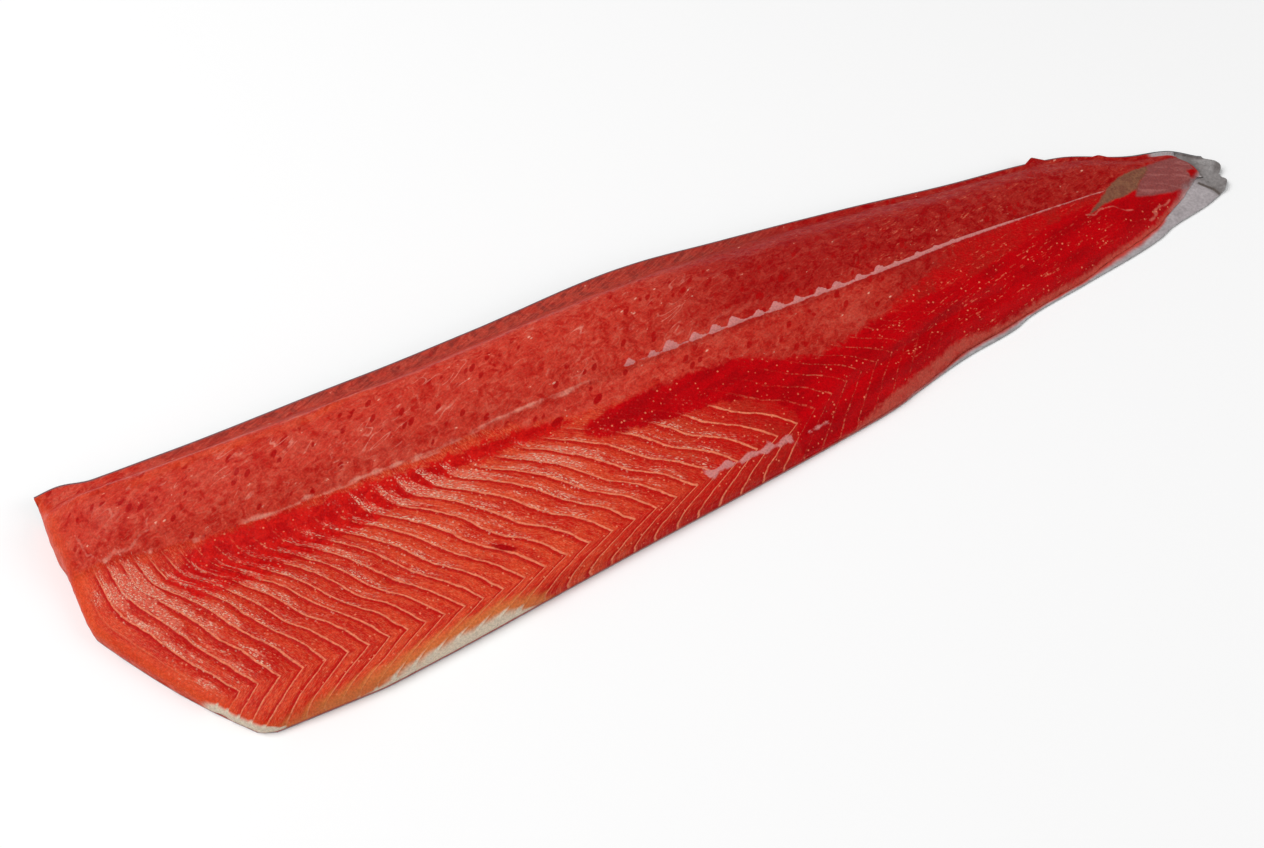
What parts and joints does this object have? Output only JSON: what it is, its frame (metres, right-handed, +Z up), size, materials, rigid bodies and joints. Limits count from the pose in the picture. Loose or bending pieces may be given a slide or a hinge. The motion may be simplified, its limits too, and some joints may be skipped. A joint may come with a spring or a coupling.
{
  "type": "salmon fillet",
  "caption": "Whole skin-on side of salmon lying skin down: thick loin, thin ridged belly wall, slanting head cut and a bare skin stub at the tail.",
  "frame": {"origin": "middle of the footprint, on the surface that the fillet lies on", "axes": "+X from the head cut to the tail, +Y to the back of the fish, +Z up through the flesh"},
  "size_m": [0.506, 0.1314, 0.026],
  "materials": {
    "flesh": "wet raw red flesh with pale muscle lines",
    "skin": "wet silver grey scaled skin, darker at the back edge"
  },
  "bodies": {
    "root": {"flesh": "flesh", "skin": "skin"}
  },
  "joints": []
}
